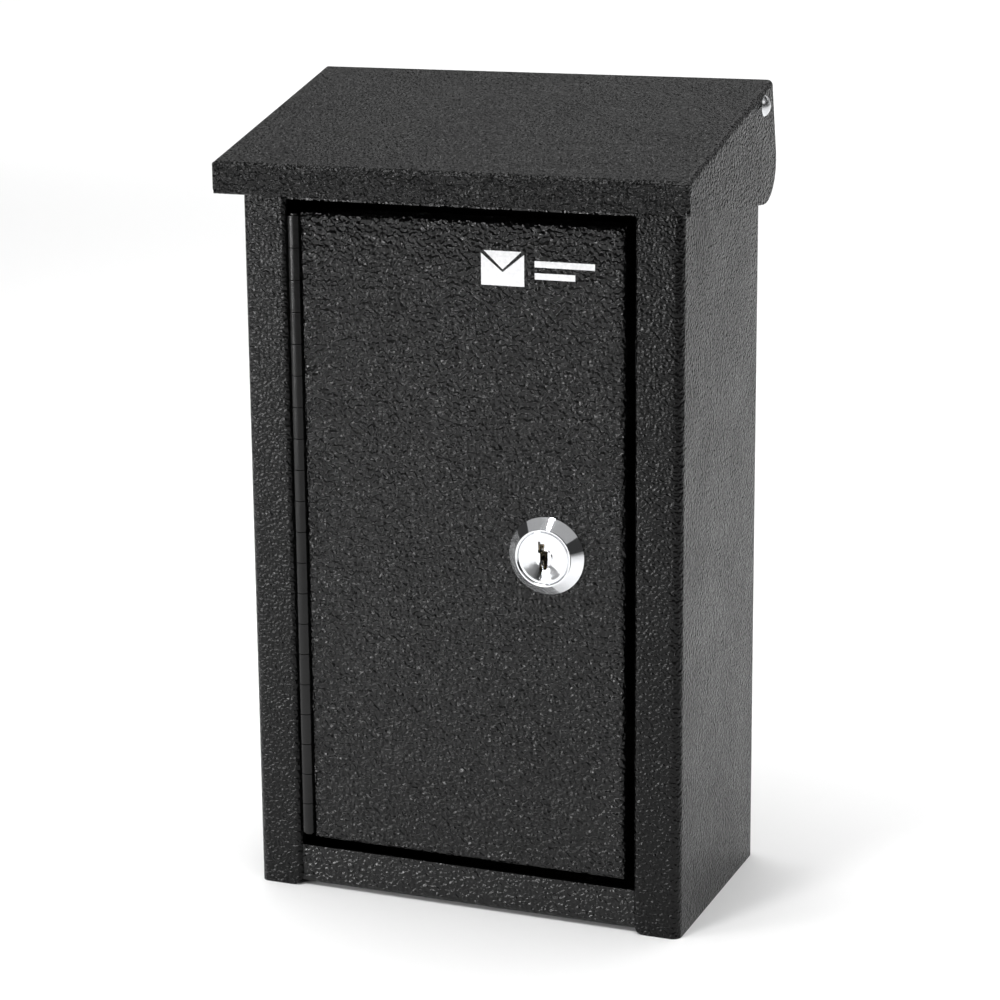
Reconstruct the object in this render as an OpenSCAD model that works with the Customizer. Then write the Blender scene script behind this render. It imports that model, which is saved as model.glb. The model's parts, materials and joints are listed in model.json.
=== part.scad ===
// Wall-mounted drop box: a folded steel body, a door on a piano hinge, a cam lock and a hood lid.
// X runs to the right, Y to the wall and Z up. The origin is at the base, under the middle of the box.
// Sizes are in millimetres. Depths are counted from the front face of the stiles, heights from the base.

/* [Body] */
// Width over the sides
body_w = 150; // [130:1:190]
// Depth from the face of the stiles to the wall
body_d = 82.5; // [72:0.5:110]
// Height of the deck's top face
body_h = 244.6; // [205:0.2:300]
// Thickness of all the painted sheet
sheet_t = 1.2; // [1:0.1:1.4]
// Outside radius of the body's four upright folds
corner_r = 3; // [2.2:0.1:4]
// Outside radius of the small folds
fold_r = 2; // [1.6:0.1:2.4]
// Width of each front stile
stile_w = 15.8; // [14:0.1:20]
// Depth of the stiles' inner lips
lip_d = 12; // [11:0.5:13]
// Height of the bottom rail's top edge
rail_h = 14.5; // [12:0.5:20]
// Height of the bottom pan above the stiles' feet
foot_h = 1; // [0.5:0.1:2]
// Radius of the stiles' inner feet corners
foot_r = 4; // [2:0.5:6]
// Height of the header over the door
header_h = 9.8; // [6:0.2:14]
// Height of the pan's and the deck's rear flanges
rear_flange_h = 12; // [8:0.5:16]

/* [Deposit slot] */
// Width of the slot
slot_w = 110; // [60:1:120]
// Depth of the slot
slot_d = 24; // [12:0.5:26]
// Depth of the slot's front edge
slot_y = 14; // [13:0.5:18]
// Radius of the slot's corners
slot_r = 3; // [1:0.5:5]
// Angle of the baffle under the slot
baffle_angle = 50; // [45:1:60]

/* [Wall holes] */
// Spacing across
wall_hole_dx = 90; // [60:1:100]
// Spacing up the back
wall_hole_dz = 150; // [100:1:160]
// Height of the lower holes
wall_hole_z = 55; // [30:1:70]
// Radius of each hole
wall_hole_r = 3.25; // [2:0.25:4]

/* [Lid] */
// Gap between each side of the body and the lid's flange
lid_side_gap = 4.05; // [2:0.05:6]
// Gap between the stiles and the lid's skirt
lid_front_gap = 9.8; // [6:0.1:14]
// Slope of the lid's top
lid_slope = 14.4; // [10:0.1:16]
// Height of the front skirt
skirt_h = 10.2; // [8:0.1:12]
// Height of the lid's front fold above the deck
lid_rise = 2.9; // [1:0.1:8]
// Distance from the lid's rear edge to the wall
lid_back_gap = 6; // [5.5:0.1:8]
// Slope of the flanges' lower edge
flange_slope = 5.2; // [2:0.1:7]
// Lean of the flanges' rear edge
flange_lean = 12.5; // [8:0.1:12.5]
// Radius of the flanges' rear corner
flange_r = 13; // [10:0.5:16]
// Radius of the skirt's lower corners
skirt_r = 3; // [1:0.5:4]

/* [Lid pivot] */
// Distance from the pivot to the wall
pivot_in = 14.1; // [13.8:0.1:16]
// Distance from the lid's top face down to the pivot
pivot_drop = 5.5; // [5.2:0.1:7]
// Radius of the rivets' shanks
rivet_r = 2; // [1.5:0.1:2.4]
// Radius of the rivets' domes
rivet_head_r = 3.5; // [3:0.1:4.5]
// Height of the rivets' domes
rivet_head_h = 1.8; // [1:0.1:2.4]

/* [Door] */
// Gap at the door's free edge
door_gap = 3; // [2:0.1:4]
// Gap above and below the door
door_end_gap = 3.5; // [2:0.1:5]
// Depth of the door's folded edges
return_d = 10; // [8:0.5:10]
// Outside radius of the door's folds
door_fold_r = 1.6; // [1.45:0.05:2]

/* [Hinge] */
// Gap between the stile's lip and the door, filled by the hinge
hinge_gap = 4.8; // [4.6:0.1:5.6]
// Depth of the pin's axis
hinge_y = 1.5; // [1.2:0.1:1.8]
// Number of knuckles, which is even
knuckle_n = 20; // [10:2:26]
// Radius of the knuckles
knuckle_r = 2.3; // [2:0.05:2.3]
// Radius of the pin
pin_r = 0.8; // [0.6:0.05:1]
// Thickness of the leaves
leaf_t = 0.9; // [0.7:0.1:1]
// Distance from the door's ends to the ends of the hinge
hinge_inset = 1.5; // [1:0.1:4]

/* [Lock] */
// Distance from the door's free edge to the lock's axis
lock_in = 26; // [20:0.5:30]
// Height of the lock's axis above the door's lower edge
lock_up = 106.7; // [60:0.1:150]
// Radius of the bezel
bezel_r = 12.7; // [11.5:0.1:14]
// Height of the bezel's cone
bezel_h = 3.4; // [2.5:0.1:4.5]
// Radius of the rim around the plug
rim_r = 9.35; // [9.2:0.05:10]
// Radius of the plug's face
face_r = 8.6; // [8:0.1:8.8]
// Radius of the threaded barrel
barrel_r = 9.4; // [9:0.1:10]
// Length of the barrel behind the door's face
barrel_len = 12.4; // [12.4:0.1:15]
// Radius of the plug's body
plug_r = 6; // [5.8:0.1:6.4]
// Length of the cam from the lock's axis
cam_reach = 36; // [34:0.5:40]
// Width of the cam
cam_w = 13; // [10:0.5:15]
// Thickness of the cam
cam_t = 1.6; // [1.2:0.1:2.4]

/* [Hidden] */

$fn = 48;
arc_steps = 8;      // straight steps in each fold's arc
over = 1;           // how far a cut runs past what it cuts
run_gap = 0.05;     // radial clearance of what turns in a bore
slip_gap = 0.1;     // clearance of what is held still in a hole
move_gap = 0.3;     // least distance between the lid and what it sweeps past
half_t = sheet_t / 2;

// The middle of the box's depth, from the lid's skirt to the wall
mid_y = (body_d - lid_front_gap - sheet_t) / 2;

// The door opening
side_x = body_w / 2;
open_x = side_x - stile_w;
header_z = body_h - header_h;

// The lid and its pivot
skirt_y = -lid_front_gap - sheet_t;
lid_fold_z = body_h + lid_rise;
skirt_z = lid_fold_z - skirt_h;
lid_x = side_x + lid_side_gap + sheet_t;
lid_back_y = body_d - lid_back_gap;
pivot_y = body_d - pivot_in;
pivot_z = lid_top(pivot_y) - pivot_drop / cos(lid_slope);
ear_r = pivot_drop - sheet_t - move_gap;
lid_sweep_r = norm([lid_back_y - pivot_y, lid_top(lid_back_y) - pivot_z]);
notch_z = pivot_z - lid_sweep_r - over;
back_top = lid_top(lid_back_y) - 4;
bush_r = pivot_drop - fold_r - slip_gap;
washer_r = ear_r - 0.2;
washer_t = 1;
rivet_tail_t = 1.2;

// The door
door_x0 = -open_x + hinge_gap;
door_x1 = open_x - door_gap;
door_z0 = rail_h + door_end_gap;
door_z1 = header_z - door_end_gap;
stop_gap = 0.4;
stop_l = 7;
stop_h = 14;

// The hinge
hinge_x = -open_x + hinge_gap / 2;
hinge_z0 = door_z0 + hinge_inset;
hinge_z1 = door_z1 - hinge_inset;
knuckle_h = (hinge_z1 - hinge_z0) / knuckle_n;
knuckle_gap = 0.25;
leaf_y = knuckle_r + 0.3;
leaf_end_y = return_d - hinge_y - 0.5;
pin_head_r = 1.5;
pin_head_h = 0.6;

// The lock, with its depths counted forwards from the door's face
lock_x = door_x1 - lock_in;
lock_z = door_z0 + lock_up;
bezel_edge = 0.5;
rim_top = bezel_h + 0.7;
rim_chamfer = 0.3;
face_z = rim_top - 0.3;
head_z = 1;
lock_washer_t = 0.8;
nut_t = 4;
nut_across = 24;
wafer_n = 5;
wafer_pitch = 1.7;
wafer_z = -0.6;
wafer_t = 1;
wafer_w = 5.2;
wafer_h = 9.8;
wafer_slot_t = wafer_t + slip_gap;
pocket_x = 4.5;
pocket_h = 3.2;
arm_h = 1;
spring_r = 0.5;
tail_w = 6.4;
stop_washer_t = 1;
stop_washer_r = 8;
spring_washer_t = 1;
screw_r = 2;
screw_head_h = 3;
cam_z = -barrel_len - slip_gap - stop_washer_t;
tail_z = cam_z - cam_t + slip_gap;
screw_tip_z = wafer_z - wafer_pitch * wafer_n - 0.8;

// ---- Sheet metal: a folded sheet is the path of its middle with an arc at each corner ----

function unit(v) = v / norm(v);
function left_of(v) = [-v[1], v[0]];
function turned(v, angle) = [v[0] * cos(angle) - v[1] * sin(angle), v[0] * sin(angle) + v[1] * cos(angle)];
function turn_between(a, b) = atan2(cross(a, b), a * b);
function reversed(list) = [for (i = [len(list) - 1:-1:0]) list[i]];

// The arc of radius r that replaces a corner, moved sideways to the left
function fold_arc(before, corner, after, r, sideways) =
    let (way = unit(corner - before))
    let (turn = turn_between(way, unit(after - corner)))
    let (centre = corner - way * r * tan(abs(turn) / 2) + left_of(way) * sign(turn) * r)
    [for (i = [0:arc_steps])
        centre + (sideways - sign(turn) * r) * turned(left_of(way), turn * i / arc_steps)];

// One face of a sheet: the path with its corners folded, moved sideways
function sheet_face(path, radii, sideways) =
    let (last = len(path) - 1)
    concat(
        [path[0] + sideways * left_of(unit(path[1] - path[0]))],
        [for (i = [1:last - 1]) each fold_arc(path[i - 1], path[i], path[i + 1], radii[i - 1], sideways)],
        [path[last] + sideways * left_of(unit(path[last] - path[last - 1]))]);

// The closed outline of a folded sheet, with the radii of its folds at mid-thickness
function sheet_outline(path, radii) =
    concat(sheet_face(path, radii, half_t), reversed(sheet_face(path, radii, -half_t)));

// A closed outline with each corner rounded by its own radius, where 0 stays sharp
function rounded(points, radii) =
    let (n = len(points))
    [for (i = [0:n - 1]) each radii[i] == 0 ? [points[i]]
        : fold_arc(points[(i + n - 1) % n], points[i], points[(i + 1) % n], radii[i], 0)];

function arc_points(centre, r, from, to, steps) =
    [for (i = [0:steps]) centre + r * [cos(from + (to - from) * i / steps), sin(from + (to - from) * i / steps)]];

// Height of the lid's top face at a depth
function lid_top(y) = lid_fold_z + (y - skirt_y) * tan(lid_slope);

// ---- Placing ----

module placed() translate([0, -mid_y, 0]) children();

// Outlines in depth and height, extruded across the width
module along_x(length) rotate([90, 0, 90]) linear_extrude(length, center = true) children();

// Outlines in width and height, extruded from one depth to another
module along_y(y0, y1) translate([0, y1, 0]) rotate([90, 0, 0]) linear_extrude(y1 - y0) children();

// Outlines in width and depth, extruded from one height to another
module along_z(z0, z1) translate([0, 0, z0]) linear_extrude(z1 - z0) children();

module both_sides() {
    children();
    mirror([1, 0, 0]) children();
}

// The lock's own frame: its Z runs forwards out of the door
module on_lock() placed() translate([lock_x, 0, lock_z]) rotate([90, 0, 0]) children();

module on_hinge() placed() translate([hinge_x, hinge_y, 0]) children();

// The lid's own frame: its Y runs up the slope from the pivot
module on_lid() translate([0, pivot_y, pivot_z]) rotate([lid_slope, 0, 0]) children();

// ---- Body ----

// The cut that rounds an outer lower corner
module corner_cut(x, z, r) polygon(concat(
    [[x + over, z - over], [x + over, z + r]],
    reversed(arc_points([x - r, z + r], r, -90, 0, arc_steps)),
    [[x - r, z - over]]));

// The body's outline from the side, with an ear at the lid's pivot and a notch behind it for the lid
module body_side_outline() polygon(concat(
    [[-over, -over], [body_d + over, -over], [body_d + over, back_top],
     [body_d - sheet_t - move_gap, back_top], [body_d - sheet_t - move_gap, notch_z],
     [pivot_y + ear_r, notch_z]],
    arc_points([pivot_y, pivot_z], ear_r, 0, 90 + lid_slope, 2 * arc_steps),
    [[-over, pivot_z + ear_r / cos(lid_slope) - (pivot_y + over) * tan(lid_slope)]]));

module body_shell() {
    path = [[-open_x - half_t, lip_d], [-open_x - half_t, half_t],
            [-side_x + half_t, half_t], [-side_x + half_t, body_d - half_t],
            [side_x - half_t, body_d - half_t], [side_x - half_t, half_t],
            [open_x + half_t, half_t], [open_x + half_t, lip_d]];
    lip_r = fold_r - half_t;
    upright_r = corner_r - half_t;
    color("#262626") placed() difference() {
        intersection() {
            along_z(0, back_top)
                polygon(sheet_outline(path, [lip_r, upright_r, upright_r, upright_r, upright_r, lip_r]));
            along_x(body_w + 2 * over) body_side_outline();
        }
        both_sides() {
            lip_cut(-over, rail_h);
            lip_cut(header_z, back_top + over);
            along_y(-over, sheet_t + over) mirror([1, 0]) corner_cut(-open_x, 0, foot_r);
        }
        for (x = [-1, 1] * wall_hole_dx / 2, z = [0, 1] * wall_hole_dz)
            translate([x, body_d + over, wall_hole_z + z]) rotate([90, 0, 0])
                cylinder(r = wall_hole_r, h = sheet_t + 2 * over);
        translate([0, pivot_y, pivot_z]) rotate([0, 90, 0])
            cylinder(r = rivet_r + run_gap, h = body_w + 2 * over, center = true);
    }
}

// Takes the lip off a stile between two heights, where the rail and the header pass behind it
module lip_cut(z0, z1) translate([open_x - over, sheet_t, z0])
    cube([fold_r + sheet_t + over, lip_d, z1 - z0]);

// Clears the ends of a plate that lies between the body's upright folds
module fold_reliefs(z0, z1) both_sides() for (y = [0, body_d - corner_r - over])
    translate([side_x - corner_r, y, z0]) cube([corner_r, corner_r + over, z1 - z0]);

module bottom_pan() {
    front = sheet_t + half_t;
    back = body_d - sheet_t - half_t;
    floor_z = foot_h + half_t;
    path = [[front, rail_h], [front, floor_z], [back, floor_z], [back, foot_h + rear_flange_h]];
    color("#202020") placed() difference() {
        along_x(body_w - 2 * sheet_t) polygon(sheet_outline(path, [1, 1] * (fold_r - half_t)));
        fold_reliefs(0, rail_h + over);
    }
}

module top_deck() {
    front = sheet_t + half_t;
    back = body_d - sheet_t - half_t;
    deck_z = body_h - half_t;
    path = [[front, header_z], [front, deck_z], [back, deck_z], [back, body_h - rear_flange_h]];
    color("#202020") placed() difference() {
        along_x(body_w - 2 * sheet_t) polygon(sheet_outline(path, [1, 1] * (fold_r - half_t)));
        fold_reliefs(min(header_z, body_h - rear_flange_h) - over, body_h + over);
        along_z(body_h - sheet_t - over, body_h + over) polygon(rounded(
            [[-slot_w / 2, slot_y], [slot_w / 2, slot_y],
             [slot_w / 2, slot_y + slot_d], [-slot_w / 2, slot_y + slot_d]],
            [1, 1, 1, 1] * slot_r));
    }
}

// The baffle hangs under the deck and runs back under the whole slot
module baffle() {
    tab_y = 2 * sheet_t + fold_r;
    tab_z = body_h - sheet_t - half_t;
    bend_y = slot_y - 2;
    end_y = slot_y + slot_d + 1;
    path = [[tab_y, tab_z], [bend_y, tab_z], [end_y, tab_z - (end_y - bend_y) * tan(baffle_angle)]];
    color("#202020") placed() along_x(body_w - 2 * sheet_t - 1)
        polygon(sheet_outline(path, [fold_r - half_t]));
}

// Two angles on the right lip that the door's free edge comes to rest in front of
module door_stops() {
    back = return_d + stop_gap + half_t;
    path = [[open_x - half_t, 5], [open_x - half_t, back], [open_x - stop_l, back]];
    color("#202020") placed() for (z = [0.2, 0.8] * (door_z1 - door_z0) + [1, 1] * door_z0)
        along_z(z - stop_h / 2, z + stop_h / 2) polygon(sheet_outline(path, [fold_r - half_t]));
}

// ---- Door ----

// The door as a solid block, taken in from the door's faces by an inset
module door_block(inset, r, back) intersection() {
    along_z(door_z0 + inset, door_z1 - inset) polygon(rounded(
        [[door_x0 + inset, inset], [door_x1 - inset, inset], [door_x1 - inset, back], [door_x0 + inset, back]],
        [r, r, 0, 0]));
    along_x(body_w) polygon(rounded(
        [[inset, door_z0 + inset], [back, door_z0 + inset], [back, door_z1 - inset], [inset, door_z1 - inset]],
        [r, 0, 0, r]));
}

module door_panel() color("#1e1e1e") {
    difference() {
        placed() difference() {
            door_block(0, door_fold_r, return_d);
            door_block(sheet_t, door_fold_r - sheet_t, return_d + over);
        }
        on_lock() cylinder(r = barrel_r + slip_gap, h = 4 * sheet_t, center = true);
    }
}

// ---- Piano hinge, in the frame of its pin: one leaf has the even knuckles, the other the odd ones ----

module knuckle_profile() difference() {
    union() {
        circle(knuckle_r);
        translate([hinge_gap / 2 - leaf_t, 0.6]) square([leaf_t, leaf_y]);
    }
    circle(pin_r + run_gap);
}

module hinge_leaf(first) {
    for (i = [first:2:knuckle_n - 1])
        along_z(hinge_z0 + i * knuckle_h + knuckle_gap / 2, hinge_z0 + (i + 1) * knuckle_h - knuckle_gap / 2)
            knuckle_profile();
    along_z(hinge_z0, hinge_z1) translate([hinge_gap / 2 - leaf_t, leaf_y])
        square([leaf_t, leaf_end_y - leaf_y]);
}

module hinge_door_leaf() color("#1a1a1a") on_hinge() hinge_leaf(1);

module hinge_frame_leaf() color("#1a1a1a") on_hinge() mirror([1, 0, 0]) hinge_leaf(0);

module hinge_pin() color("#8a8a8a") on_hinge() {
    along_z(hinge_z0 - pin_head_h, hinge_z1 + pin_head_h) circle(pin_r);
    along_z(hinge_z0 - pin_head_h, hinge_z0) circle(pin_head_r);
    along_z(hinge_z1, hinge_z1 + pin_head_h) circle(pin_head_r);
}

// ---- Lock ----

module lock_housing() {
    bore_r = plug_r + run_gap;
    recess_r = face_r + run_gap;
    groove_end = wafer_z - wafer_pitch * wafer_n;
    color("#d8dade") on_lock() difference() {
        rotate_extrude() polygon([
            [bore_r, -barrel_len], [barrel_r, -barrel_len], [barrel_r, 0], [bezel_r, 0],
            [bezel_r, bezel_edge], [rim_r, bezel_h], [rim_r, rim_top],
            [recess_r + rim_chamfer, rim_top], [recess_r, rim_top - rim_chamfer],
            [recess_r, head_z], [bore_r, head_z]]);
        // Grooves that the wafers spring into when the key is out
        translate([-wafer_w / 2 - slip_gap, -plug_r - 1.4, groove_end])
            cube([wafer_w + 2 * slip_gap, 2 * plug_r + 2.8, -groove_end - 0.3]);
    }
}

module lock_washer() {
    teeth = 16;
    color("#b9bcc2") on_lock() translate([0, 0, -sheet_t - lock_washer_t])
        linear_extrude(lock_washer_t) difference() {
            union() {
                circle(barrel_r + 2);
                for (i = [0:teeth - 1])
                    rotate(i * 360 / teeth) translate([barrel_r + 1, -0.7]) square([2.2, 1.4]);
            }
            circle(barrel_r + slip_gap);
        }
}

module lock_nut() color("#c2c5ca") on_lock()
    translate([0, 0, -sheet_t - lock_washer_t - nut_t]) linear_extrude(nut_t) difference() {
        circle(r = nut_across / 2 / cos(30), $fn = 6);
        circle(barrel_r);
    }

// The keyway, seen from the front
module keyway_profile() {
    translate([-1.8, 1.6]) square([2.1, 3]);
    translate([-1.8, 4]) square([0.7, 1.3]);
    translate([-1.1, -2.6]) square([2.6, 5]);
    translate([-1.4, -5.3]) square([0.8, 3.7]);
    translate([-0.1, -4.1]) square([1.3, 2]);
}

// Calls its children at each wafer, in the order of depth
module at_wafers() for (i = [0:wafer_n - 1])
    translate([0, 0, wafer_z - i * wafer_pitch - wafer_slot_t]) children();

module lock_plug() {
    hub_r = 2.8;
    color("#cfd2d6") on_lock() difference() {
        union() {
            rotate_extrude() polygon([
                [0, -barrel_len], [plug_r, -barrel_len], [plug_r, head_z], [face_r, head_z],
                [face_r, face_z - rim_chamfer], [face_r - rim_chamfer, face_z], [face_r - 1, face_z],
                [hub_r + 0.3, face_z - 0.7], [hub_r, face_z - 0.3], [0, face_z - 0.3]]);
            translate([-tail_w / 2, -tail_w / 2, tail_z]) cube([tail_w, tail_w, -barrel_len - tail_z + over]);
        }
        translate([0, 0, screw_tip_z + 0.6]) linear_extrude(rim_top - screw_tip_z) keyway_profile();
        at_wafers() linear_extrude(wafer_slot_t) {
            square([wafer_w + slip_gap, 2 * plug_r + over], center = true);
            translate([0, -pocket_h]) square([pocket_x, pocket_h + arm_h + 0.6]);
        }
        translate([0, 0, tail_z - over]) cylinder(r = screw_r, h = screw_tip_z - tail_z + over);
    }
}

// Each wafer has a window for the key and an arm that its spring lifts
module lock_wafers() color("#c8a24a") on_lock() at_wafers() linear_extrude(wafer_t) difference() {
    union() {
        square([wafer_w, wafer_h], center = true);
        translate([0, 0.2]) square([pocket_x - slip_gap, arm_h]);
    }
    translate([-1.95, -3.9]) square([3.6, 8]);
}

module wafer_springs() color("#9a9ea4") on_lock() at_wafers()
    translate([(wafer_w / 2 + pocket_x) / 2, -pocket_h, wafer_slot_t / 2]) rotate([-90, 0, 0])
        linear_extrude(pocket_h + 0.2) difference() {
            circle(spring_r);
            circle(spring_r / 2);
        }

module tail_hole() square(tail_w + slip_gap, center = true);

module cam_stop_washer() color("#b9bcc2") on_lock()
    translate([0, 0, cam_z]) linear_extrude(stop_washer_t) difference() {
        union() {
            circle(stop_washer_r);
            translate([-2.5, 0]) square([5, stop_washer_r + 1.4]);
        }
        tail_hole();
    }

// The cam points down when it is unlocked
module lock_cam() {
    side = cam_w / 2;
    color("#c2c5ca") on_lock() translate([0, 0, cam_z - cam_t]) linear_extrude(cam_t) difference() {
        polygon(rounded([[-side, -cam_reach], [side, -cam_reach], [side, side + 1], [-side, side + 1]],
                        [0.5, 0.5, 0.6, 0.6] * side));
        tail_hole();
    }
}

module cam_spring_washer() color("#9a9ea4") on_lock()
    translate([0, 0, cam_z - cam_t - spring_washer_t]) linear_extrude(spring_washer_t) difference() {
        circle(2.6 * screw_r);
        circle(screw_r + slip_gap);
    }

module cam_screw() color("#c2c5ca") on_lock() {
    head_top = cam_z - cam_t - spring_washer_t;
    translate([0, 0, head_top]) cylinder(r = screw_r, h = screw_tip_z - head_top);
    translate([0, 0, head_top - screw_head_h]) cylinder(r = 2 * screw_r, h = screw_head_h, $fn = 6);
}

// ---- Lid ----

// The lid's outline from the side
module lid_side_outline() {
    front_low = [skirt_y, skirt_z];
    rear_top = [lid_back_y, lid_top(lid_back_y)];
    down = [sin(flange_lean), -cos(flange_lean)];
    along = [cos(flange_slope), -sin(flange_slope)];
    rear_low = rear_top + down * cross(front_low - rear_top, along) / cross(down, along);
    polygon(rounded([front_low, rear_low, rear_top, [skirt_y, lid_fold_z]], [1, flange_r, 0.5, fold_r]));
}

module lid() {
    channel = [[-lid_x + half_t, -body_d], [-lid_x + half_t, pivot_drop - half_t],
               [lid_x - half_t, pivot_drop - half_t], [lid_x - half_t, -body_d]];
    color("#2c2c2c") placed() difference() {
        intersection() {
            along_x(2 * lid_x) lid_side_outline();
            along_z(0, 2 * body_h) polygon(rounded(
                [[-lid_x, skirt_y], [lid_x, skirt_y], [lid_x, body_d], [-lid_x, body_d]],
                [fold_r, fold_r, 0, 0]));
            union() {
                on_lid() rotate([90, 0, 0]) linear_extrude(4 * body_d, center = true)
                    polygon(sheet_outline(channel, [1, 1] * (fold_r - half_t)));
                translate([-lid_x + half_t, skirt_y, skirt_z])
                    cube([2 * lid_x - sheet_t, sheet_t, lid_top(skirt_y + sheet_t) - skirt_z - half_t]);
            }
        }
        both_sides() along_y(skirt_y - over, skirt_y + fold_r) corner_cut(lid_x, skirt_z, skirt_r);
        translate([0, pivot_y, pivot_z]) rotate([0, 90, 0])
            cylinder(r = rivet_r, h = 2 * lid_x + 2 * over, center = true);
    }
}

// ---- Lid pivots, drawn on the right along X and mirrored for the left ----

inner_face_x = side_x - sheet_t - slip_gap;
tail_x = inner_face_x - washer_t;

module at_pivot(x) placed() translate([x, pivot_y, pivot_z]) rotate([0, 90, 0]) children();

module ring(r, bore, h) linear_extrude(h) difference() {
    circle(r);
    circle(bore);
}

module rivet() {
    dome_r = (rivet_head_r ^ 2 + rivet_head_h ^ 2) / (2 * rivet_head_h);
    dome_angle = asin(rivet_head_r / dome_r);
    at_pivot(lid_x) rotate_extrude() polygon(concat(
        [[0, 0]],
        arc_points([0, rivet_head_h - dome_r], dome_r, 90 - dome_angle, 90, 2 * arc_steps)));
    at_pivot(tail_x) cylinder(r = rivet_r, h = lid_x - tail_x);
    at_pivot(tail_x - rivet_tail_t) cylinder(r = rivet_head_r - 0.3, h = rivet_tail_t);
}

module lid_bush() at_pivot(side_x + slip_gap) ring(bush_r, rivet_r, lid_side_gap - slip_gap);

module lid_washer() at_pivot(tail_x) ring(washer_r, rivet_r, washer_t);

module lid_rivet_right() color("#c6c8cb") rivet();

module lid_rivet_left() color("#c6c8cb") mirror([1, 0, 0]) rivet();

module lid_bush_right() color("#5a5a5a") lid_bush();

module lid_bush_left() color("#5a5a5a") mirror([1, 0, 0]) lid_bush();

module lid_washer_right() color("#b9bcc2") lid_washer();

module lid_washer_left() color("#b9bcc2") mirror([1, 0, 0]) lid_washer();

body_shell();
bottom_pan();
top_deck();
baffle();
door_stops();
hinge_frame_leaf();
hinge_pin();
door_panel();
hinge_door_leaf();
lock_housing();
lock_washer();
lock_nut();
lock_plug();
lock_wafers();
wafer_springs();
cam_stop_washer();
lock_cam();
cam_spring_washer();
cam_screw();
lid();
lid_rivet_left();
lid_rivet_right();
lid_bush_left();
lid_bush_right();
lid_washer_left();
lid_washer_right();
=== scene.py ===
"""The looks of a small wall-mounted steel drop box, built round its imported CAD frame. Metres throughout."""
import json
import math

import bmesh
import bpy
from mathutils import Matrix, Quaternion, Vector


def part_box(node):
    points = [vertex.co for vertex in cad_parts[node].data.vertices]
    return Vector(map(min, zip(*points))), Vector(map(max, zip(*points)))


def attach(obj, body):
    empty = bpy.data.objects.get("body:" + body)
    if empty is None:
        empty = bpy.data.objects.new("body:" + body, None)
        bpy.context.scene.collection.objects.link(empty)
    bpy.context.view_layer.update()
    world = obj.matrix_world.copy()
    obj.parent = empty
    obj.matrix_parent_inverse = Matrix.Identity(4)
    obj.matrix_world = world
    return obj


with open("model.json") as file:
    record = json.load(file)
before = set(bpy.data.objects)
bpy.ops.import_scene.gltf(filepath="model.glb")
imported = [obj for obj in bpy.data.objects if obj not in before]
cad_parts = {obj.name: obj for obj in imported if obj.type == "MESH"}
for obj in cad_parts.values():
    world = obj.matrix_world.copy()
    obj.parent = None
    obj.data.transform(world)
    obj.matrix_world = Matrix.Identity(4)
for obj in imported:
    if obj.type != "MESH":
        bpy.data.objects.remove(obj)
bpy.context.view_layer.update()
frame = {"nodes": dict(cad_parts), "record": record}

MM = 0.001

# ---- Camera, fitted to the straight edges of the object ----
CAMERA_AZIMUTH = 21.766
CAMERA_ELEVATION = 13.227
CAMERA_ROLL = -0.505
CAMERA_AIM = (-0.0011, 0.0029, 0.1482)
CAMERA_DISTANCE = 0.9414
CAMERA_LENS = 101.755
CAMERA_CLIP = (0.01, 200)
CAMERA_SHIFT_Y = -0.05
SENSOR = 36.0


def make_camera():
    """The camera at the photograph's angle, with the shift that keeps the uprights upright."""
    a, e = math.radians(CAMERA_AZIMUTH), math.radians(CAMERA_ELEVATION)
    back = Vector((math.sin(a) * math.cos(e), -math.cos(a) * math.cos(e), math.sin(e)))
    data = bpy.data.cameras.new("camera")
    data.sensor_width, data.lens, data.shift_y = SENSOR, CAMERA_LENS, CAMERA_SHIFT_Y
    data.clip_start, data.clip_end = CAMERA_CLIP
    cam = bpy.data.objects.new("camera", data)
    cam.rotation_mode = "QUATERNION"
    cam.rotation_quaternion = ((-back).to_track_quat("-Z", "Y")
                               @ Quaternion((0, 0, 1), math.radians(CAMERA_ROLL)))
    cam.location = Vector(CAMERA_AIM) + back * CAMERA_DISTANCE
    bpy.context.scene.collection.objects.link(cam)
    bpy.context.scene.camera = cam


# ---- Studio: a pale floor and soft lights ----
WORLD_RADIANCE = 0.04
FLOOR_RADIUS, FLOOR_SEGMENTS = 30.0, 96
FLOOR_TONE, FLOOR_ROUGHNESS = 0.86, 0.9
# name, place, aimed at, size, radiance, spread in degrees
LIGHTS = (
    ("light_top", (-0.05, 0.05, 1.3), (-0.05, 0.05, 0.0), (1.1, 1.1), 2.35, 120),
    ("light_middle", (-0.1, 1.5, 0.4), (-0.1, 1.5, 0.0), (5.0, 1.9), 0.55, 180),
    ("light_back", (-0.3, 3.7, 1.5), (-0.3, 3.7, 0.0), (6.0, 3.2), 1.45, 150),
    ("light_sky", (0.0, -2.5, 4.5), (0.0, -2.5, 0.0), (14.0, 9.0), 0.36, 180),
    ("light_left", (-0.82, -0.78, 0.21), (0.0, 0.0, 0.15), (0.3, 0.3), 22.0, 180),
    ("light_front", (-0.42, -1.0, 0.2), (0.0, 0.0, 0.18), (0.2, 0.16), 26.0, 180),
    ("light_key", (-0.15, -0.55, 1.15), (0.0, 0.0, 0.2), (0.14, 0.14), 55.0, 180),
    ("light_right", (1.2, -0.15, 0.8), (0.9, 0.1, 0.0), (0.6, 0.6), 0.8, 120),
)


def make_world():
    world = bpy.data.worlds.new("studio")
    bpy.context.scene.world = world
    world.use_nodes = True
    shade = world.node_tree.nodes["Background"]
    shade.inputs["Color"].default_value = (1, 1, 1, 1)
    shade.inputs["Strength"].default_value = WORLD_RADIANCE


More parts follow.
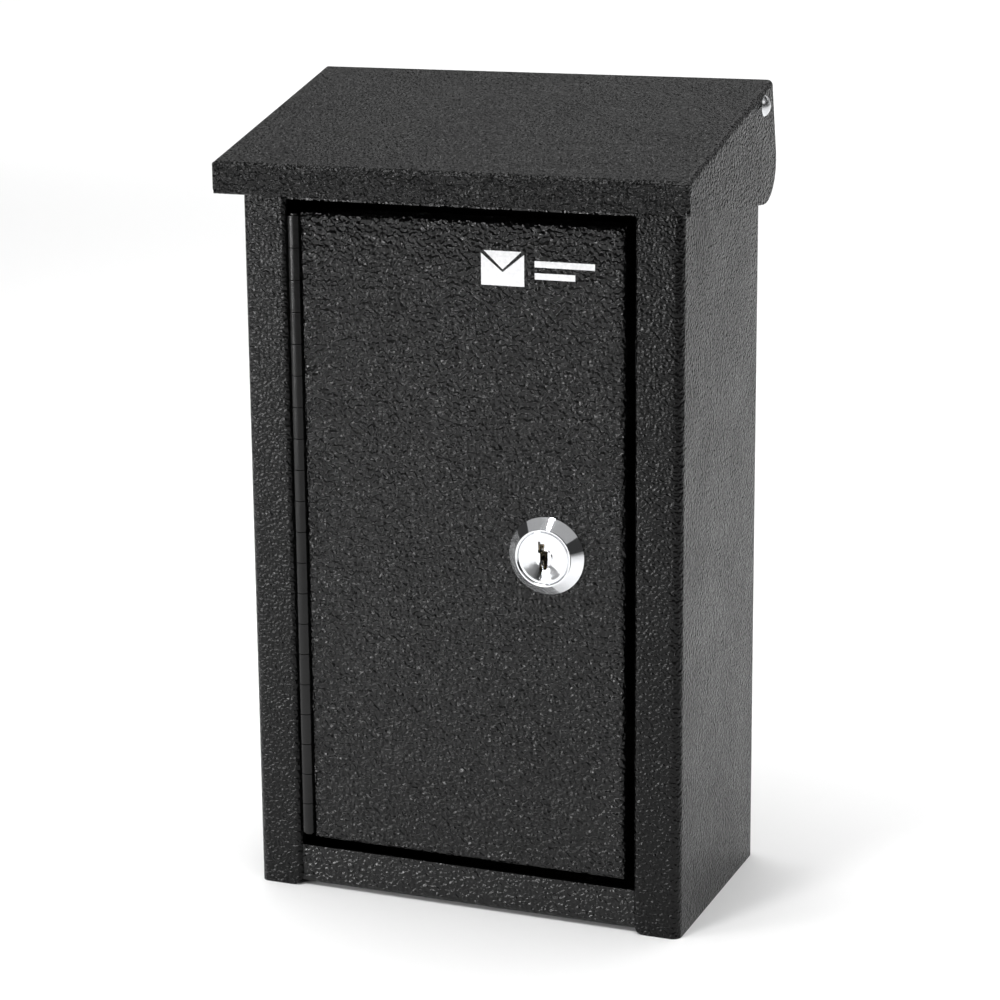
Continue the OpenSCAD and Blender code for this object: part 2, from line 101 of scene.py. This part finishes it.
def make_floor():
    bm = bmesh.new()
    bmesh.ops.create_circle(bm, cap_ends=True, radius=FLOOR_RADIUS, segments=FLOOR_SEGMENTS)
    mesh = bpy.data.meshes.new("floor")
    bm.to_mesh(mesh)
    bm.free()
    floor = bpy.data.objects.new("floor", mesh)
    bpy.context.scene.collection.objects.link(floor)
    material = bpy.data.materials.new("floor")
    material.use_nodes = True
    skin = material.node_tree.nodes["Principled BSDF"]
    skin.inputs["Base Color"].default_value = (FLOOR_TONE,) * 3 + (1,)
    skin.inputs["Roughness"].default_value = FLOOR_ROUGHNESS
    skin.inputs["Specular IOR Level"].default_value = 0.0
    mesh.materials.append(material)


def make_lights():
    for name, place, aim, size, radiance, spread in LIGHTS:
        data = bpy.data.lights.new(name, "AREA")
        data.shape, data.size, data.size_y = "RECTANGLE", size[0], size[1]
        data.energy = radiance * math.pi * size[0] * size[1]
        data.spread = math.radians(spread)
        light = bpy.data.objects.new(name, data)
        light.location = place
        light.rotation_euler = (Vector(aim) - Vector(place)).to_track_quat("-Z", "Y").to_euler()
        light.visible_camera = False
        bpy.context.scene.collection.objects.link(light)


# ---- Materials ----


class Nodes:
    """A material's node tree, with short ways to add and join nodes."""

    def __init__(self, name):
        self.material = bpy.data.materials.new(name)
        self.material.use_nodes = True
        self.tree = self.material.node_tree
        self.shader = self.tree.nodes["Principled BSDF"]
        self.place = self.add("ShaderNodeTexCoord").outputs["Object"]

    def add(self, kind, **settings):
        node = self.tree.nodes.new(kind)
        for key, value in settings.items():
            setattr(node, key, value)
        return node

    def join(self, source, target):
        self.tree.links.new(source, target)

    def put(self, value, socket):
        """Joins a socket's value, or sets a plain one."""
        if isinstance(value, bpy.types.NodeSocket):
            self.join(value, socket)
        else:
            socket.default_value = value

    def fill(self, node, **values):
        for key, value in values.items():
            self.put(value, node.inputs[key.replace("_", " ")])
        return node

    def noise(self, scale, detail=2.0, rough=0.5, warp=0.0, at=None):
        node = self.fill(self.add("ShaderNodeTexNoise"), Vector=at or self.place, Scale=scale,
                         Detail=detail, Roughness=rough, Distortion=warp)
        return node.outputs["Fac"]

    def warped(self, scale, amount):
        """The object's own coordinates, pushed about by a noise."""
        noise = self.fill(self.add("ShaderNodeTexNoise"), Vector=self.place, Scale=scale, Detail=1.0)
        push = self.add("ShaderNodeVectorMath", operation="MULTIPLY_ADD")
        self.join(noise.outputs["Color"], push.inputs[0])
        push.inputs[1].default_value = (amount,) * 3
        self.join(self.place, push.inputs[2])
        return push.outputs["Vector"]

    def calculate(self, operation, a, b):
        node = self.add("ShaderNodeMath", operation=operation)
        self.put(a, node.inputs[0])
        self.put(b, node.inputs[1])
        return node.outputs[0]

    def ramp(self, value, low, high, out_low=0.0, out_high=1.0):
        node = self.fill(self.add("ShaderNodeMapRange", interpolation_type="SMOOTHSTEP"), Value=value,
                         From_Min=low, From_Max=high, To_Min=out_low, To_Max=out_high)
        return node.outputs["Result"]

    def mix(self, share, a, b):
        """A colour between two plain colours. Inputs 6 and 7 and output 2 are the node's colour sockets."""
        node = self.add("ShaderNodeMix", data_type="RGBA")
        self.join(share, node.inputs["Factor"])
        node.inputs[6].default_value = (*a, 1)
        node.inputs[7].default_value = (*b, 1)
        return node.outputs[2]

    def bump(self, height, distance):
        node = self.fill(self.add("ShaderNodeBump"), Height=height, Distance=distance, Strength=1.0)
        return node.outputs["Normal"]

    def finish(self, **values):
        self.fill(self.shader, **values)
        return self.material


# Each sheet's coat: name, how far apart its wrinkles are, their height, IOR (chosen for its looks)
COATS = {
    "door_panel": ("coat_door", 0.80 * MM, 1.5 * MM, 1.37),
    "body_shell": ("coat_shell", 0.66 * MM, 0.6 * MM, 1.28),
    "lid": ("coat_lid", 0.66 * MM, 1.5 * MM, 1.31),
}
OTHER_COAT = ("coat_rail", 0.80 * MM, 0.9 * MM, 1.40)
COAT_TONE = 0.002
COAT_DARKER, COAT_LIGHTER = 0.85, 1.15
COAT_ROUGHNESS = (0.20, 0.28)
LUMP_SHARE = 0.4


def hammered_coat(name, pitch, height, ior):
    """Black powder coat with a leathery texture of fine wrinkles over broader lumps."""
    n = Nodes(name)
    at = n.warped(scale=0.35 / pitch, amount=0.4 * pitch)
    wrinkles = n.noise(scale=0.65 / pitch, detail=0.6, warp=0.3, at=at)
    lumps = n.noise(scale=0.25 / pitch, detail=1.0, at=at)
    relief = n.calculate("ADD", n.calculate("MULTIPLY", lumps, LUMP_SHARE), wrinkles)
    normal = n.bump(relief, height)
    patches = n.ramp(n.noise(scale=18.0, detail=3.0, rough=0.6), low=0.35, high=0.7)
    colour = n.mix(patches, [COAT_TONE * COAT_DARKER] * 3, [COAT_TONE * COAT_LIGHTER] * 3)
    rough = n.ramp(n.noise(scale=45.0, detail=3.0, rough=0.6), 0.3, 0.7, *COAT_ROUGHNESS)
    return n.finish(Base_Color=colour, Roughness=rough, IOR=ior, Normal=normal)


def hinge_paint(name):
    """Black paint on the hinge, smoother than the coat and a little dusty."""
    n = Nodes(name)
    dust = n.ramp(n.noise(scale=300.0, detail=4.0, rough=0.65), low=0.45, high=0.75)
    colour = n.mix(dust, (0.002, 0.002, 0.002), (0.006, 0.006, 0.006))
    rough = n.ramp(n.noise(scale=120.0, detail=3.0, rough=0.6), 0.3, 0.7, out_low=0.14, out_high=0.26)
    normal = n.bump(n.noise(scale=900.0, detail=3.0, rough=0.6), 0.06 * MM)
    return n.finish(Base_Color=colour, Roughness=rough, IOR=1.36, Normal=normal)


def metal(name, colour, rough_low, rough_high, scale, relief, spread=0.12):
    """Bare or plated metal with faint handling marks, darker by the share `spread`."""
    n = Nodes(name)
    marks = n.ramp(n.noise(scale=scale, detail=4.0, rough=0.65), low=0.35, high=0.7)
    dark = [c * (1 - spread) for c in colour]
    shade = n.mix(marks, dark, colour)
    rough = n.ramp(n.noise(scale=scale * 2.2, detail=3.0, rough=0.6), 0.3, 0.72, rough_low, rough_high)
    normal = n.bump(n.noise(scale=scale * 4, detail=3.0, rough=0.6), relief)
    return n.finish(Base_Color=shade, Roughness=rough, Metallic=1.0, Normal=normal)


def plastic(name):
    """Black moulded plastic."""
    n = Nodes(name)
    grain = n.noise(scale=500.0, detail=3.0, rough=0.6)
    colour = n.mix(grain, (0.02, 0.02, 0.02), (0.05, 0.05, 0.05))
    normal = n.bump(n.noise(scale=2500.0, detail=3.0, rough=0.6), 0.03 * MM)
    return n.finish(Base_Color=colour, Roughness=0.5, Normal=normal)


def print_ink(name):
    """Thin white ink, a little uneven."""
    n = Nodes(name)
    wear = n.ramp(n.noise(scale=700.0, detail=3.0, rough=0.6), low=0.35, high=0.7)
    colour = n.mix(wear, (0.72, 0.72, 0.73), (0.85, 0.85, 0.86))
    normal = n.bump(n.noise(scale=1500.0), 0.02 * MM)
    return n.finish(Base_Color=colour, Roughness=0.45, Normal=normal)


def paint_nodes():
    """Gives every CAD node its material, and returns the materials of the record's slots."""
    by_node = {node: hammered_coat(*coat) for node, coat in COATS.items()}
    by_slot = {
        "hammered_coat": hammered_coat(*OTHER_COAT),
        "lock_chrome": metal("chrome", (0.86, 0.87, 0.89), 0.04, 0.10, scale=350.0,
                             relief=0.002 * MM, spread=0.04),
        "plain_steel": metal("zinc", (0.58, 0.58, 0.60), 0.22, 0.4, scale=260.0, relief=0.01 * MM),
        # Brass colour darkened well below real brass: painted shade for the wafers set deep in the keyway.
        "wafer_brass": metal("brass", (0.50, 0.36, 0.15), 0.2, 0.36, scale=400.0, relief=0.01 * MM),
        "rivet_aluminium": metal("aluminium", (0.80, 0.81, 0.83), 0.16, 0.3, scale=500.0,
                                 relief=0.01 * MM),
        "hinge_paint": hinge_paint("hinge_black"),
        "bush_plastic": plastic("bush_black"),
    }
    by_node["hinge_pin"] = by_slot["hinge_paint"]
    for part in frame["record"]["subparts"]:
        name = part["node"]
        material = by_node.get(name, by_slot[part["material_slot"]])
        frame["nodes"][name].material_slots[0].material = material
    return by_slot


# ---- Small pieces on the door ----
MARK_W, MARK_H = 38.0 * MM, 11.0 * MM
MARK_MARGIN = (9.7 * MM, 9.3 * MM)
ENVELOPE_W = 14.5 * MM
FLAP_DROP, FLAP_GAP = 5.8 * MM, 0.9 * MM
BAR_X, BAR_H = 18.0 * MM, 2.0 * MM
# Each bar's height above the mark's foot, and its length
BARS = ((6.4 * MM, 20.0 * MM), (2.6 * MM, 13.5 * MM))
# How far the ink stands out of the door's face, and how far it goes in
INK = 0.05 * MM

BARREL_R = 9.4 * MM
THREAD_PITCH = 1.0 * MM
THREAD_RISE, THREAD_ROOT = 0.3 * MM, 0.05 * MM
# Half the ridge's width, as a share of the pitch
THREAD_HALF = 0.42
# Steps in one turn, and those over which the ridge fades in and out
THREAD_STEPS, THREAD_FADE = 48, 12
GAP_AT_NUT, GAP_AT_END = 0.2 * MM, 0.3 * MM


def add_piece(name, bm, material, body):
    """Turns a bmesh into a piece that rides on a CAD body."""
    bmesh.ops.recalc_face_normals(bm, faces=bm.faces)
    mesh = bpy.data.meshes.new(name)
    bm.to_mesh(mesh)
    bm.free()
    mesh.materials.append(material)
    piece = bpy.data.objects.new(name, mesh)
    bpy.context.scene.collection.objects.link(piece)
    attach(piece, body)


def prism(bm, outline, front, back):
    """A flat plate with the outline given as (x, z) points."""
    near = [bm.verts.new((x, front, z)) for x, z in outline]
    far = [bm.verts.new((x, back, z)) for x, z in outline]
    bm.faces.new(near)
    bm.faces.new(far[::-1])
    for k in range(len(outline)):
        after = (k + 1) % len(outline)
        bm.faces.new((near[k], far[k], far[after], near[after]))


def make_mark():
    """A plain envelope pictogram and two bars, printed at the door's upper right corner."""
    low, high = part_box("door_panel")
    face = low[1]
    x0 = high[0] - MARK_MARGIN[0] - MARK_W
    z0 = high[2] - MARK_MARGIN[1] - MARK_H
    xm, x1, z1 = x0 + ENVELOPE_W / 2, x0 + ENVELOPE_W, z0 + MARK_H
    tip = z1 - FLAP_DROP
    shapes = [
        [(x0, z0), (xm, z0), (xm, tip - FLAP_GAP), (x0, z1 - FLAP_GAP)],
        [(xm, z0), (x1, z0), (x1, z1 - FLAP_GAP), (xm, tip - FLAP_GAP)],
        [(x0 + FLAP_GAP, z1), (x1 - FLAP_GAP, z1), (xm, tip)],
    ]
    for rise, length in BARS:
        left, right, foot = x0 + BAR_X, x0 + BAR_X + length, z0 + rise
        shapes.append([(left, foot), (right, foot), (right, foot + BAR_H), (left, foot + BAR_H)])
    bm = bmesh.new()
    for outline in shapes:
        prism(bm, outline, face - INK, face + INK)
    add_piece("door_mark", bm, print_ink("white_ink"), "door")


def make_thread(material):
    """The thread that shows on the lock's barrel behind its nut."""
    low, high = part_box("lock_housing")
    cx, cz = (low[0] + high[0]) / 2, (low[2] + high[2]) / 2
    start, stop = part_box("lock_nut")[1][1] + GAP_AT_NUT, high[1] - GAP_AT_END
    turns = (stop - start) / THREAD_PITCH - 1
    count = int(turns * THREAD_STEPS)
    half = THREAD_HALF * THREAD_PITCH
    bm, rings = bmesh.new(), []
    for k in range(count + 1):
        angle = 2 * math.pi * k / THREAD_STEPS
        fade = min(1.0, k / THREAD_FADE, (count - k) / THREAD_FADE)
        y = start + half + THREAD_PITCH * k / THREAD_STEPS
        root, crest = BARREL_R - THREAD_ROOT, BARREL_R + THREAD_RISE * fade
        ring = []
        for radius, shift in ((root, -half), (crest, 0.0), (root, half)):
            x, z = cx + radius * math.cos(angle), cz + radius * math.sin(angle)
            ring.append(bm.verts.new((x, y + shift, z)))
        rings.append(ring)
    for a, b in zip(rings, rings[1:]):
        for k in range(3):
            after = (k + 1) % 3
            bm.faces.new((a[k], a[after], b[after], b[k]))
    bm.faces.new(rings[0])
    bm.faces.new(rings[-1][::-1])
    add_piece("lock_thread", bm, material, "door")


make_camera()
make_world()
make_floor()
make_lights()
slot_materials = paint_nodes()
make_mark()
make_thread(slot_materials["lock_chrome"])
bpy.context.scene.view_settings.view_transform = "Standard"
